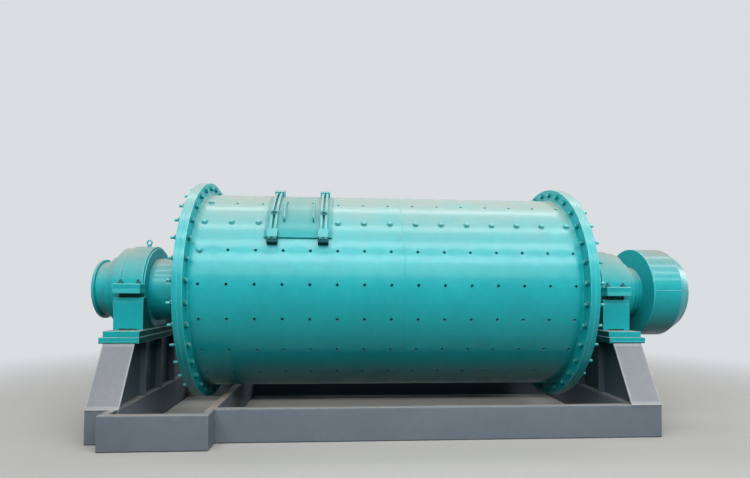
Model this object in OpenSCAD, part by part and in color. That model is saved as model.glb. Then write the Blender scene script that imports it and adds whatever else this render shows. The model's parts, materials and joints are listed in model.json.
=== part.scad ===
// Horizontal ball mill on a steel base, without its drive.
// X runs along the mill axis towards the feeder drum, -Y faces the outrigger, Z is up.
// Sizes are in millimetres and the base rests on the floor at z = 0.

/* [Mill drum] */
// Outer radius of the drum shell
shell_r = 1075; // [900:5:1300]
// Thickness of the drum shell plate
shell_wall = 25; // [16:1:40]
// Distance between the outer faces of the two end joints
drum_length = 4062; // [3000:1:6000]
// Distance of the drum's middle from the base's middle
drum_offset = 60; // [0:5:200]
// Height of the bolted end joints over the shell
joint_height = 130; // [110:5:200]
// Thickness of each of the two plates of an end joint
joint_plate = 48; // [20:1:80]
// Distance of the joint bolts from the shell
joint_bolt_out = 70; // [55:1:95]
// Number of bolts round an end joint
joint_bolts = 34; // [16:2:48]
// Angle of the first joint bolt above the front
joint_bolt_start = 4.2; // [0:0.1:10]
// Radius of the joint nuts over their corners
joint_nut_r = 28; // [20:1:36]
// Height of the joint nuts
joint_nut_h = 30; // [20:1:45]
// Leg length of the welds between shell and flanges
joint_weld = 14; // [6:1:20]

/* [Liner bolts] */
// Number of liner bolts along the drum
liner_columns = 15; // [8:1:17]
// Distance of the first liner bolts from the left end of the drum
liner_first = 199; // [150:1:300]
// Distance of the last liner bolts from the right end of the drum
liner_last = 181; // [150:1:300]
// Number of liner bolts round the drum
liner_rows = 20; // [12:1:24]
// Angle of the first row of liner bolts above the front
liner_start = 2.7; // [0:0.1:8]
// Row that shows its nuts, counted from the first
liner_nut_row = 2; // [1:1:6]
// Radius of the liner nuts over their corners
liner_nut_r = 27; // [18:1:34]
// Height of a liner nut with its washer
liner_nut_h = 26; // [16:1:40]
// Rim of the liner washers beyond the corners of their nuts
liner_washer_rim = 7; // [3:1:15]
// Thickness of the liner washers
liner_washer_t = 6; // [3:1:12]

/* [End heads and trunnions] */
// Height of the cone of an end head
head_cone = 120; // [60:5:200]
// Wall thickness of an end head
head_wall = 55; // [30:1:90]
// Outer radius of the trunnion journal
journal_r = 350; // [250:5:450]
// Height of the trunnion's root flange over the journal
root_height = 60; // [30:1:120]
// Thickness of the trunnion's root flange
root_t = 30; // [15:1:60]
// Length of the taper between root flange and journal
root_taper = 40; // [10:1:80]
// Step from the journal down to the collar
collar_step = 34; // [15:1:60]
// Length of each collar beyond its seal cover
collar_length = 77; // [20:1:150]
// Step from the collar down to the sleeve
sleeve_step = 16; // [5:1:40]
// Wall thickness of the sleeves round the passage
sleeve_wall = 50; // [20:1:100]

/* [Discharge end] */
// Length of the discharge sleeve between collar and ring
discharge_sleeve_length = 60; // [20:1:200]
// Height of the discharge ring over its sleeve
discharge_ring_height = 32; // [10:1:100]
// Thickness of the discharge ring
discharge_ring_t = 25; // [15:1:40]

/* [Feeder drum] */
// Length of the feed sleeve between collar and feeder
feed_sleeve_length = 64; // [30:1:200]
// Outer radius of the feeder drum
feeder_r = 517; // [450:1:600]
// Length of the feeder drum's straight part
feeder_length = 316; // [200:1:500]
// Length of the feeder's tapered end
feeder_taper = 139; // [60:1:200]
// Step from the feeder drum's radius to the small end of its taper
feeder_mouth_step = 87; // [20:1:120]
// Plate thickness of the feeder
feeder_plate = 12; // [6:1:20]

/* [Bearings] */
// Distance of each bearing's middle from the drum's end, were the drum in the base's middle
bearing_room = 585; // [545:5:700]
// Clearance between journal and bore, and under pieces that seat on a round face
run_gap = 0.3; // [0.2:0.1:1]
// Width of the lower bearing housing along the axis
housing_width = 300; // [280:2:360]
// Thickness of the lower housing under its bore
housing_floor = 74; // [50:1:120]
// Length of the lower housing beyond the cap on each side
housing_reach = 70; // [68:1:110]
// Height of the step at the top of the lower housing
housing_step_h = 42; // [20:1:80]
// Depth of that step at the ends of the lower housing
housing_step_in = 6; // [2:1:10]
// Width of the relief slot under the lower housing
slot_width = 180; // [60:5:220]
// Height of the relief slot under the lower housing
slot_height = 12; // [5:1:25]
// Width of the bearing cap along the axis
cap_width = 220; // [180:5:260]
// Thickness of the bearing cap over the journal
cap_wall = 135; // [110:5:190]
// Distance of the split of the housing below the axis
split_drop = 68; // [50:1:110]
// Gap between the cap's lugs and the lower housing
lug_gap = 42; // [10:1:60]
// Height of the cap's lugs
cap_lug_h = 101; // [60:1:120]
// Length of the lugs beyond the cap on each side
lug_reach = 134; // [90:1:160]
// Width of the lugs along the axis
lug_width = 272; // [220:2:300]
// Distance of the cap bolts from the bearing's middle along the axis
cap_bolt_x = 88; // [50:1:100]
// Distance of the cap bolts from the side of the cap
cap_bolt_out = 50; // [40:1:50]
// Radius of the cap bolts
cap_bolt_r = 12; // [8:1:12]
// Height of the cap bolts over the lugs
cap_bolt_h = 44; // [30:1:70]
// Radius of the cap nuts over their corners
cap_nut_r = 27; // [20:1:30]
// Height of the cap nuts
cap_nut_h = 24; // [15:1:30]

/* [Lifting eyes] */
// Radius of the boss of a lifting eye
eye_boss_r = 22; // [15:1:35]
// Height of the boss of a lifting eye
eye_boss_h = 20; // [12:1:40]
// Radius of the middle line of the eye's ring
eye_ring_r = 26; // [18:1:40]
// Radius of the eye's round bar
eye_bar_r = 8; // [5:1:12]

/* [Seal covers] */
// Clearance round the journal inside the seal covers
seal_gap = 5; // [3:1:10]
// Thickness of the inner seal cover
inner_seal_t = 15; // [8:1:25]
// Step from the cap's radius down to the wide seal cover
seal_wide_step = 20; // [5:1:60]
// Length of the wide seal cover
seal_wide_length = 104; // [50:1:150]
// Wall thickness of the narrow seal cover
seal_narrow_wall = 38; // [10:1:60]
// Length of the narrow seal cover
seal_narrow_length = 108; // [50:1:150]
// Gap between the collar and the bore of the outer seal cover
collar_gap = 19; // [5:1:30]

/* [Sole plates] */
// Thickness of each sole plate
sole_t = 60; // [40:1:80]
// Half length of the lower sole plate across the axis
lower_sole_half = 772; // [700:1:850]
// Step from the end of the lower sole plate to the end of the upper one
sole_step = 37; // [10:1:60]
// Step from the housing to the upper sole's edge towards the drum
upper_sole_in = 34; // [10:1:60]
// Step from the housing to the upper sole's outer edge
upper_sole_out = 19; // [10:1:60]
// Step from the upper sole's to the lower sole's edge towards the drum
lower_sole_in = 12; // [5:1:60]
// Step from the upper sole's to the lower sole's outer edge
lower_sole_out = 25; // [5:1:60]

/* [Stands] */
// Width of the sloping legs along the axis
leg_width = 308; // [250:2:350]
// Thickness of the sloping legs
leg_t = 20; // [12:1:30]
// Distance of a leg's top edge from the end of the lower sole plate
leg_inset = 7; // [0:1:40]
// Thickness of the upright webs
web_t = 16; // [10:1:25]
// Distance of each web from the middle of its stand
web_offset = 75; // [50:5:110]
// Spacing of the ribs of the webs
rib_pitch = 450; // [350:5:520]
// Radius of the notches at the lower corners of the webs
notch_r = 55; // [20:5:80]

/* [Base frame] */
// Gap between the drum shell and the top of the base
drum_gap = 45; // [35:1:200]
// Distance of the long beams' outer faces from the axis plane
base_half_width = 1100; // [950:5:1250]
// Depth of the base beams
beam_h = 322; // [250:2:400]
// Flange width of the base beams
beam_flange_width = 75; // [60:1:120]
// Thickness of the webs of the base beams
beam_web_t = 12; // [8:1:20]
// Thickness of the flanges of the base beams
beam_flange_t = 16; // [10:1:24]
// Wall thickness of the box beams under the stands
box_wall = 14; // [8:1:20]
// Distance of the outrigger's left side from the end of the base
outrigger_inset = 210; // [140:5:230]
// Length of the outrigger along the axis
outrigger_length = 968; // [870:1:1350]
// Distance of the outrigger's front from the front of the base
outrigger_depth = 225; // [140:5:400]

/* [Manhole] */
// Distance of the manhole's middle from the left end of the drum
manhole_in = 1125; // [900:1:1600]
// Length of the manhole cover along the axis
manhole_length = 662; // [620:2:700]
// Angle of the lower edge of the manhole cover
manhole_low_angle = 28; // [20:1:36]
// Angle of the upper edge of the manhole cover
manhole_high_angle = 68; // [58:1:75]
// Thickness of the manhole cover
cover_t = 18; // [10:1:25]
// Lap of the cover over the opening, as an angle
cover_lap_angle = 2; // [1:0.5:4]
// Lap of the cover over the opening along the axis
cover_lap_length = 35; // [15:1:60]

/* [Clamps and handles] */
// Distance of each clamp from the cover's middle
clamp_x = 247; // [210:1:270]
// Spacing of the two bars of a clamp
clamp_pitch = 46; // [36:1:60]
// Thickness of each clamp bar
clamp_t = 24; // [12:1:30]
// Height of the clamp bars over the cover
clamp_h = 42; // [30:1:60]
// Length of a clamp's head and foot along the axis
clamp_block_length = 102; // [92:1:120]
// Height of a clamp's head over its bars
clamp_head_h = 12; // [0:1:30]
// Angle that a clamp's head spans
clamp_head_angle = 7; // [4:0.5:10]
// Angle that a clamp's foot spans on the cover
clamp_foot_angle = 4; // [2:0.5:8]
// Angle that a clamp's foot spans below the cover
clamp_hook_angle = 4; // [2:0.5:8]
// Angle between the cover's edges and the clamps
clamp_edge_angle = 0.3; // [0.1:0.1:1]
// Angle of the clamp nuts above the front
clamp_nut_angle = 43; // [40:1:54]
// Radius of the clamp nuts over their corners
clamp_nut_r = 21; // [15:1:30]
// Height of a clamp nut
clamp_nut_h = 22; // [15:1:35]
// Rim of the clamp washers beyond the corners of their nuts
clamp_washer_rim = 13; // [4:1:20]
// Thickness of the clamp washers
clamp_washer_t = 8; // [4:1:15]
// Distance of each handle from the cover's middle
handle_x = 145; // [60:1:160]
// Angle of the handles' middle above the front
handle_angle = 46; // [42:1:52]
// Bar radius of the cover's handles
handle_r = 8; // [5:1:10]
// Radius of the bends of the handles
handle_bend = 20; // [12:1:25]
// Length of the cover's handles
handle_length = 300; // [120:5:320]
// Height of the handles over the cover
handle_h = 48; // [40:1:60]

/* [Hidden] */

finest = 360;
fine = 96;
small = 32;
hex = 6;

joint_r = shell_r + joint_height;
joint_bolt_circle = shell_r + joint_bolt_out;
joint_left = drum_length / 2 - drum_offset;
joint_right = drum_length / 2 + drum_offset;
liner_x = liner_first - joint_left;
liner_pitch = (drum_length - liner_first - liner_last) / (liner_columns - 1);
liner_step = 360 / liner_rows;

axis_height = beam_h + drum_gap + shell_r;
bearing_x = drum_length / 2 + bearing_room;
cap_face = bearing_x + cap_width / 2;
cap_back = bearing_x - cap_width / 2;
cap_r = journal_r + cap_wall;
split_z = -split_drop;
split_half = sqrt(cap_r * cap_r - split_z * split_z);
cap_lug_z = split_z + lug_gap / 2;
step_top_z = split_z - lug_gap / 2;
housing_half = cap_r + housing_reach;
lug_half = cap_r + lug_reach;
cap_bolt_y = cap_r + cap_bolt_out;

root_r = journal_r + root_height;
collar_r = journal_r - collar_step;
sleeve_r = collar_r - sleeve_step;
passage_r = sleeve_r - sleeve_wall;
seal_wide_r = cap_r - seal_wide_step;
seal_bore_r = collar_r + collar_gap;
seal_narrow_r = seal_bore_r + seal_narrow_wall;
seal_wide_end = cap_face + seal_wide_length;
seal_narrow_end = seal_wide_end + seal_narrow_length;
journal_end = cap_face - seal_gap;
collar_end = seal_narrow_end + collar_length;

discharge_ring_r = sleeve_r + discharge_ring_height;
discharge_ring_x = collar_end + discharge_sleeve_length;
discharge_end = discharge_ring_x + discharge_ring_t;
feeder_start = collar_end + feed_sleeve_length;
feeder_drum_x = feeder_start + feeder_plate;
feeder_taper_x = feeder_drum_x + feeder_length;
feeder_end = feeder_taper_x + feeder_taper;
feeder_mouth_r = feeder_r - feeder_mouth_step;

sole_top = axis_height - journal_r - housing_floor;
sole_bottom = sole_top - 2 * sole_t;
upper_sole_half = lower_sole_half - sole_step;
leg_top_y = lower_sole_half - leg_inset;
base_half_length = bearing_x + leg_width / 2;
stand_x = base_half_length - leg_width;
lip_y = base_half_width - beam_flange_width;
outrigger_left = outrigger_inset - base_half_length;
cross_x = outrigger_left + outrigger_length;
outrigger_front_y = base_half_width + outrigger_depth;
origin_x = (feeder_end - discharge_end) / 2;
origin_y = (max(joint_r, base_half_width) - max(joint_r, outrigger_front_y)) / 2;

manhole_x = manhole_in - joint_left;
cover_r = shell_r + run_gap + cover_t;
clamp_r = cover_r + run_gap;
clamp_top_r = clamp_r + clamp_h;

// Moves the base's middle so that the origin is under the middle of the outline.
module place() {
  translate([-origin_x, -origin_y, 0]) children();
}

// Puts a piece drawn for the +X end on the end named by s.
module at_end(s) {
  place() mirror([s < 0 ? 1 : 0, 0, 0]) children();
}

// Turns a profile of radius and position about the mill axis.
module on_axis(facets = fine) {
  translate([0, 0, axis_height]) rotate([0, 90, 0]) rotate_extrude($fn = facets) children();
}

// A ring about the mill axis from x0 to x1.
module ring(r_in, r_out, x0, x1, facets = fine) {
  on_axis(facets) translate([r_in, x0]) square([r_out - r_in, x1 - x0]);
}

// A channel along +X with its back at y = 0 and its lips towards +Y.
module channel(l) {
  rotate([90, 0, 90]) linear_extrude(l)
    polygon([[0, 0], [beam_flange_width, 0], [beam_flange_width, beam_flange_t],
      [beam_web_t, beam_flange_t], [beam_web_t, beam_h - beam_flange_t],
      [beam_flange_width, beam_h - beam_flange_t], [beam_flange_width, beam_h], [0, beam_h]]);
}

// Long channel from x0 to the right end of the base, with its back outwards.
module long_beam(s, x0) {
  color("slategray") place() mirror([0, s < 0 ? 0 : 1, 0])
    translate([x0, -base_half_width, 0]) channel(base_half_length - x0);
}

// Box beam across the base under a stand, from y0 to the rear long beam.
module end_beam(s, y0, closed) {
  l = lip_y - y0;
  start = closed ? box_wall : -box_wall;
  color("slategray") at_end(s) translate([stand_x, y0, 0]) difference() {
    cube([leg_width, l, beam_h]);
    translate([box_wall, start, box_wall]) cube([leg_width - 2 * box_wall, 2 * l, beam_h - 2 * box_wall]);
  }
}

// Channel across the base, in line with the outrigger's right side.
module cross_beam() {
  color("slategray") place() translate([cross_x, -base_half_width, 0])
    rotate([0, 0, 90]) channel(base_half_width + lip_y);
}

// Front channel of the outrigger, mitred at both ends.
module outrigger_front_beam() {
  front = -outrigger_front_y;
  color("slategray") place() intersection() {
    translate([outrigger_left, front, 0]) channel(outrigger_length);
    linear_extrude(beam_h) polygon([[outrigger_left, front], [cross_x, front],
      [cross_x - beam_flange_width, front + beam_flange_width],
      [outrigger_left + beam_flange_width, front + beam_flange_width]]);
  }
}

// Side channel of the outrigger with its back outwards and a mitred front end.
module outrigger_side(x, s) {
  color("slategray") place() translate([x, -outrigger_front_y, 0]) mirror([s < 0 ? 1 : 0, 0, 0])
    intersection() {
      rotate([0, 0, 90]) channel(outrigger_depth);
      linear_extrude(beam_h) polygon([[0, 0], [0, outrigger_depth],
        [-beam_flange_width, outrigger_depth], [-beam_flange_width, beam_flange_width]]);
    }
}

// Sloping leg plate from the sole plate down to the base.
module leg(s, side) {
  color("lightgray") at_end(s) mirror([0, side < 0 ? 0 : 1, 0])
    translate([stand_x, 0, 0]) rotate([90, 0, 90]) linear_extrude(leg_width)
      polygon([[-base_half_width, beam_h], [-base_half_width + leg_t, beam_h],
        [-leg_top_y + leg_t, sole_bottom], [-leg_top_y, sole_bottom]]);
}

// Outline of a web between the two legs of a stand, notched at its lower corners.
module web_outline() {
  low = base_half_width - leg_t;
  high = leg_top_y - leg_t;
  difference() {
    polygon([[-low, beam_h], [low, beam_h], [high, sole_bottom], [-high, sole_bottom]]);
    for (k = [-1, 1]) translate([k * low, beam_h]) circle(r = notch_r, $fn = small);
  }
}

// Two upright webs standing on the box beam.
module stand_webs(s) {
  color("slategray") at_end(s) for (k = [-1, 1])
    translate([bearing_x + k * web_offset - web_t / 2, 0, 0])
      rotate([90, 0, 90]) linear_extrude(web_t) web_outline();
}

// Upright ribs between the two webs and on their outer faces.
module stand_ribs(s) {
  edge_l = leg_width / 2 - web_offset - web_t / 2;
  middle_l = 2 * web_offset - web_t;
  color("slategray") at_end(s) for (k = [-1, 0, 1], rib = [[0, edge_l],
    [edge_l + web_t, middle_l], [leg_width - edge_l, edge_l]])
    translate([stand_x + rib[0], k * rib_pitch - web_t / 2, beam_h])
      cube([rib[1], web_t, sole_bottom - beam_h]);
}

// Sole plate that reaches past the housing on both sides, at a height z.
module sole(s, reach_in, reach_out, half, z) {
  inner = housing_width / 2 + reach_in;
  outer = housing_width / 2 + reach_out;
  color("teal") at_end(s) translate([bearing_x - inner, -half, z]) cube([inner + outer, 2 * half, sole_t]);
}

module lower_sole(s) {
  sole(s, upper_sole_in + lower_sole_in, upper_sole_out + lower_sole_out, lower_sole_half, sole_bottom);
}

module upper_sole(s) {
  sole(s, upper_sole_in, upper_sole_out, upper_sole_half, sole_bottom + sole_t);
}

// Room for the journal and for the seal covers beside the cap.
module bearing_bore() {
  ring(0, journal_r + run_gap, cap_back - housing_width, cap_face + housing_width);
  ring(0, seal_wide_r + run_gap, cap_face, cap_face + housing_width);
  ring(0, seal_wide_r + run_gap, cap_back - housing_width, cap_back);
}

// Lower bearing housing: a stepped block with half of the journal's bore and a slot underneath.
module lower_housing(s) {
  step_top = axis_height + step_top_z;
  step_half = housing_half - housing_step_in;
  color("teal") at_end(s) difference() {
    union() {
      translate([bearing_x - housing_width / 2, -housing_half, sole_top])
        cube([housing_width, 2 * housing_half, step_top - housing_step_h - sole_top]);
      translate([bearing_x - housing_width / 2, -step_half, step_top - housing_step_h])
        cube([housing_width, 2 * step_half, housing_step_h]);
      translate([cap_back, -split_half, step_top]) cube([cap_width, 2 * split_half, lug_gap / 2]);
    }
    bearing_bore();
    translate([bearing_x - slot_width / 2, -base_half_width, sole_top - slot_height])
      cube([slot_width, 2 * base_half_width, 2 * slot_height]);
  }
}

// Bearing cap: half a drum over the journal with a lug on each side.
module bearing_cap(s) {
  color("teal") at_end(s) difference() {
    union() {
      intersection() {
        ring(0, cap_r, cap_back, cap_face);
        translate([cap_back, -cap_r, axis_height + split_z]) cube([cap_width, 2 * cap_r, 2 * cap_r]);
      }
      translate([bearing_x - lug_width / 2, -lug_half, axis_height + cap_lug_z])
        cube([lug_width, 2 * lug_half, cap_lug_h]);
    }
    bearing_bore();
  }
}

// Seal covers on both faces of a bearing, cut flat over the sole plate.
module seal_covers(s) {
  color("teal") at_end(s) difference() {
    union() {
      on_axis() polygon([[seal_bore_r, cap_face], [seal_wide_r, cap_face], [seal_wide_r, seal_wide_end],
        [seal_narrow_r, seal_wide_end], [seal_narrow_r, seal_narrow_end], [seal_bore_r, seal_narrow_end]]);
      ring(journal_r + seal_gap, seal_wide_r, cap_back - inner_seal_t, cap_back);
    }
    translate([0, -base_half_width, 0]) cube([2 * bearing_x, 2 * base_half_width, sole_top + run_gap]);
  }
}

// Studs of a cap: each shows in the gap under the lug and above its nut.
module cap_bolts(s) {
  color("teal") at_end(s) for (side = [-1, 1], k = [-1, 1])
    translate([bearing_x + k * cap_bolt_x, side * cap_bolt_y, axis_height + cap_lug_z]) {
      translate([0, 0, -lug_gap]) cylinder(h = lug_gap, r = cap_bolt_r, $fn = small);
      translate([0, 0, cap_lug_h]) {
        cylinder(h = cap_bolt_h, r = cap_bolt_r, $fn = small);
        cylinder(h = cap_nut_h, r = cap_nut_r, $fn = hex);
      }
    }
}

// Eye bolt on the crown of a cap.
module lifting_eye(s) {
  color("teal") at_end(s) translate([bearing_x, 0, axis_height + cap_r + run_gap]) {
    cylinder(h = eye_boss_h, r = eye_boss_r, $fn = small);
    translate([0, 0, eye_boss_h + eye_ring_r]) rotate([90, 0, 0])
      rotate_extrude($fn = small) translate([eye_ring_r, 0]) circle(r = eye_bar_r, $fn = small);
  }
}

// Drum shell with the manhole cut through its wall.
module drum_shell() {
  color("teal") place() difference() {
    ring(shell_r - shell_wall, shell_r, joint_plate - joint_left, joint_right - joint_plate);
    manhole_wedge(manhole_low_angle + cover_lap_angle, manhole_high_angle - cover_lap_angle,
      manhole_length - 2 * cover_lap_length);
  }
}

// Wedge from the mill axis outwards between two angles over the front.
module manhole_wedge(low, high, l) {
  reach = 2 * shell_r;
  translate([manhole_x - l / 2, 0, axis_height]) rotate([90, 0, 90]) linear_extrude(l)
    polygon([[0, 0], [-reach * cos(low), reach * sin(low)], [-reach * cos(high), reach * sin(high)]]);
}

// Plate bent round the drum between two angles.
module bent_plate(r_in, r_out, low, high, x, l) {
  intersection() {
    ring(r_in, r_out, x - l / 2, x + l / 2, finest);
    translate([x - manhole_x, 0, 0]) manhole_wedge(low, high, l);
  }
}

// Stands a piece drawn upwards on the drum at a radius and an angle over the front.
module on_drum(x, r, angle) {
  translate([x, 0, axis_height]) rotate([90 - angle, 0, 0]) translate([0, 0, r]) children();
}

module manhole_cover() {
  color("teal") place()
    bent_plate(shell_r + run_gap, cover_r, manhole_low_angle, manhole_high_angle, manhole_x,
      manhole_length);
}

// Bridge clamp over the cover: two bent bars between a foot and a head that stand on the shell.
module manhole_clamp(x) {
  low = manhole_low_angle;
  high = manhole_high_angle;
  union() {
    for (k = [-1, 1])
      bent_plate(clamp_r, clamp_top_r, low, high + clamp_edge_angle, x + k * clamp_pitch / 2, clamp_t);
    bent_plate(clamp_r, clamp_top_r, low - clamp_edge_angle, low + clamp_foot_angle, x, clamp_block_length);
    bent_plate(shell_r + run_gap, clamp_top_r, low - clamp_hook_angle, low - clamp_edge_angle,
      x, clamp_block_length);
    bent_plate(shell_r + run_gap, clamp_top_r + clamp_head_h, high + clamp_edge_angle,
      high + clamp_head_angle, x, clamp_block_length);
  }
}

module manhole_clamps() {
  color("teal") place() for (side = [-1, 1]) manhole_clamp(manhole_x + side * clamp_x);
}

// Nut and washer that bridge the two bars of each clamp.
module clamp_nuts() {
  color("teal") place() for (side = [-1, 1])
    on_drum(manhole_x + side * clamp_x, clamp_top_r + run_gap, clamp_nut_angle) {
      cylinder(h = clamp_washer_t, r = clamp_nut_r + clamp_washer_rim, $fn = small);
      cylinder(h = clamp_washer_t + clamp_nut_h, r = clamp_nut_r, $fn = hex);
    }
}

// Round-bar handles on the cover, each a straight grip on two bent legs.
module manhole_handles() {
  leg_y = handle_length / 2 - handle_r;
  grip_z = handle_h - handle_r;
  inside = leg_y - handle_r;
  foot_z = sqrt(cover_r * cover_r - inside * inside) - cover_r;
  color("teal") place() for (side = [-1, 1])
    on_drum(manhole_x + side * handle_x, cover_r + run_gap, handle_angle) {
      translate([0, leg_y - handle_bend, grip_z]) rotate([90, 0, 0])
        cylinder(h = 2 * (leg_y - handle_bend), r = handle_r, $fn = small);
      for (k = [0, 1]) mirror([0, k, 0]) translate([0, leg_y, 0]) {
        translate([0, 0, foot_z]) cylinder(h = grip_z - handle_bend - foot_z, r = handle_r, $fn = small);
        translate([0, -handle_bend, grip_z - handle_bend]) rotate([90, 0, 90])
          rotate_extrude(angle = 90, $fn = small) translate([handle_bend, 0])
          circle(r = handle_r, $fn = small);
      }
    }
}

// Nuts of the liner bolts: one row along the drum, left out at the manhole, and a few at its end.
module liner_nuts() {
  color("teal") place() for (column = [0 : liner_columns - 1], turn = [-1, 0, 1]) {
    x = liner_x + column * liner_pitch;
    if ((turn == 0 || column == 0) && abs(x - manhole_x) > manhole_length / 2)
      on_drum(x, shell_r + run_gap, liner_start + (liner_nut_row + turn) * liner_step) {
        cylinder(h = liner_washer_t, r = liner_nut_r + liner_washer_rim, $fn = small);
        cylinder(h = liner_nut_h, r = liner_nut_r, $fn = hex);
      }
  }
}

// Shell flange of an end joint with its weld on the shell.
module shell_flange(s, face) {
  back = face - 2 * joint_plate;
  color("teal") at_end(s) on_axis() polygon([
    [shell_r, back - joint_weld], [shell_r + joint_weld, back], [joint_r, back],
    [joint_r, back + joint_plate], [shell_r, back + joint_plate]]);
}

// End head: outer joint plate and cone, open for the trunnion passage.
module end_head(s, face) {
  cone_r = shell_r - shell_wall;
  color("teal") at_end(s) on_axis() polygon([
    [joint_r, face - joint_plate], [joint_r, face], [cone_r, face],
    [root_r, face + head_cone], [passage_r, face + head_cone],
    [passage_r, face + head_cone - head_wall], [root_r, face + head_cone - head_wall],
    [cone_r, face - joint_plate]]);
}

// Hollow trunnion: root flange, journal and collar.
module trunnion(s, face) {
  root = face + head_cone;
  color("teal") at_end(s) on_axis() polygon([
    [passage_r, root], [root_r, root], [root_r, root + root_t],
    [journal_r, root + root_t + root_taper], [journal_r, journal_end],
    [collar_r, journal_end], [collar_r, collar_end], [passage_r, collar_end]]);
}

// Nuts on both faces of a bolted end joint.
module joint_bolts(s, face) {
  color("teal") at_end(s) for (i = [0 : joint_bolts - 1], x = [face - 2 * joint_plate - joint_nut_h, face])
    on_drum(x, joint_bolt_circle, joint_bolt_start + i * 360 / joint_bolts)
      rotate([0, 90, 0]) cylinder(h = joint_nut_h, r = joint_nut_r, $fn = hex);
}

module discharge_sleeve() {
  color("teal") at_end(-1) ring(passage_r, sleeve_r, collar_end, discharge_ring_x);
}

module discharge_ring() {
  color("teal") at_end(-1) ring(passage_r, discharge_ring_r, discharge_ring_x, discharge_end);
}

module feed_sleeve() {
  color("teal") at_end(1) ring(passage_r, sleeve_r, collar_end, feeder_start);
}

module feeder_back_plate() {
  color("teal") at_end(1) ring(passage_r, feeder_r, feeder_start, feeder_drum_x);
}

module feeder_drum() {
  color("teal") at_end(1) ring(feeder_r - feeder_plate, feeder_r, feeder_drum_x, feeder_taper_x);
}

// Tapered end of the feeder with its feed opening.
module feeder_tapered_end() {
  color("teal") at_end(1) on_axis() polygon([
    [feeder_r - feeder_plate, feeder_taper_x], [feeder_r, feeder_taper_x], [feeder_mouth_r, feeder_end],
    [passage_r, feeder_end], [passage_r, feeder_end - feeder_plate],
    [feeder_mouth_r - feeder_plate, feeder_end - feeder_plate]]);
}

long_beam(-1, cross_x);  // front_long_beam
long_beam(1, -base_half_length);  // rear_long_beam
end_beam(-1, -base_half_width, true);  // left_end_beam
end_beam(1, -lip_y, false);  // right_end_beam
cross_beam();
outrigger_front_beam();
outrigger_side(outrigger_left, -1);  // outrigger_left_beam
outrigger_side(cross_x, 1);  // outrigger_right_beam
leg(-1, -1);  // left_front_leg
leg(-1, 1);  // left_rear_leg
leg(1, -1);  // right_front_leg
leg(1, 1);  // right_rear_leg
stand_webs(-1);  // left_stand_webs
stand_webs(1);  // right_stand_webs
stand_ribs(-1);  // left_stand_ribs
stand_ribs(1);  // right_stand_ribs
lower_sole(-1);  // left_lower_sole
upper_sole(-1);  // left_upper_sole
lower_sole(1);  // right_lower_sole
upper_sole(1);  // right_upper_sole
lower_housing(-1);  // left_lower_housing
lower_housing(1);  // right_lower_housing
bearing_cap(-1);  // left_bearing_cap
bearing_cap(1);  // right_bearing_cap
seal_covers(-1);  // left_seal_covers
seal_covers(1);  // right_seal_covers
cap_bolts(-1);  // left_cap_bolts
cap_bolts(1);  // right_cap_bolts
lifting_eye(-1);  // left_lifting_eye
lifting_eye(1);  // right_lifting_eye
drum_shell();
shell_flange(-1, joint_left);  // left_shell_flange
shell_flange(1, joint_right);  // right_shell_flange
end_head(-1, joint_left);  // left_end_head
end_head(1, joint_right);  // right_end_head
trunnion(-1, joint_left);  // left_trunnion
trunnion(1, joint_right);  // right_trunnion
joint_bolts(-1, joint_left);  // left_joint_bolts
joint_bolts(1, joint_right);  // right_joint_bolts
liner_nuts();
manhole_cover();
manhole_clamps();
clamp_nuts();
manhole_handles();
discharge_sleeve();
discharge_ring();
feed_sleeve();
feeder_back_plate();
feeder_drum();
feeder_tapered_end();
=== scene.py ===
"""Looks of the horizontal ball mill: paint, welds, bolts and a shell with open liner-bolt holes."""

import json
import math
import random

import bmesh
import bpy
from mathutils import Matrix, Vector


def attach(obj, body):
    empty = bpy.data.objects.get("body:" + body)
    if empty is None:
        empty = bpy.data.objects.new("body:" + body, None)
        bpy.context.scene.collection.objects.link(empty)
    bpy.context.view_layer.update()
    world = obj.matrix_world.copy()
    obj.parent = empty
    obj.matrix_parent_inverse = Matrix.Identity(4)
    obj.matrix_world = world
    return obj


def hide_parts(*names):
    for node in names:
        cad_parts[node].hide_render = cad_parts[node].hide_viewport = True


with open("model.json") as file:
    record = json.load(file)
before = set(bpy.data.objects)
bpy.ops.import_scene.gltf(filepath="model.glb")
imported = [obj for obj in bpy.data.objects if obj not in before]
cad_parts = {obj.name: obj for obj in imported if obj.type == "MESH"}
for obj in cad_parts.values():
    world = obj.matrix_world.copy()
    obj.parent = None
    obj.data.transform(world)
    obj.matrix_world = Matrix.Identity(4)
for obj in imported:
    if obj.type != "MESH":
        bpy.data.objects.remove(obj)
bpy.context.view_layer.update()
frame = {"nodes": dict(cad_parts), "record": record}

# The frame of the part, in metres: the mill axis, and the base's middle along X
AXIS_Y = 0.060
AXIS_Z = 1.442
MIDDLE_X = -0.223

# Camera, fitted to the photograph
FOCAL_PX = 498.76
IMAGE_W = 750
PRINCIPAL_DROP_PX = 42.25
SENSOR_MM = 36
CAMERA_REACH = 200
CAMERA_AT = Vector((-0.645, -5.817, 1.4375))
CAMERA_YAW = 0.0680
CAMERA_PITCH = 0.0192
CAMERA_ROLL = 0.0061

# Strips of soft light over the mill, seen in its paint as bands: elevation from the axis, radiance
STRIP_AWAY = 6.5
STRIP_LENGTH = 14.0
STRIP_WIDTH = 0.8
STRIP_SHIFT = 1.3
STRIPS = {"strip_front": (33.5, 6.2), "strip_high": (50.5, 7.5),
          "strip_top": (71.5, 6.5), "strip_rear": (102, 5.0)}

# Fill lamps: way from the axis, elevation, radiance
FILL_AWAY = 9.5
FILL_LENGTH = 12
FILL_WIDTH = 4
FILLS = {"front_fill": (-1, 28, 2.7), "rear_fill": (1, 42, 3.4)}

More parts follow.
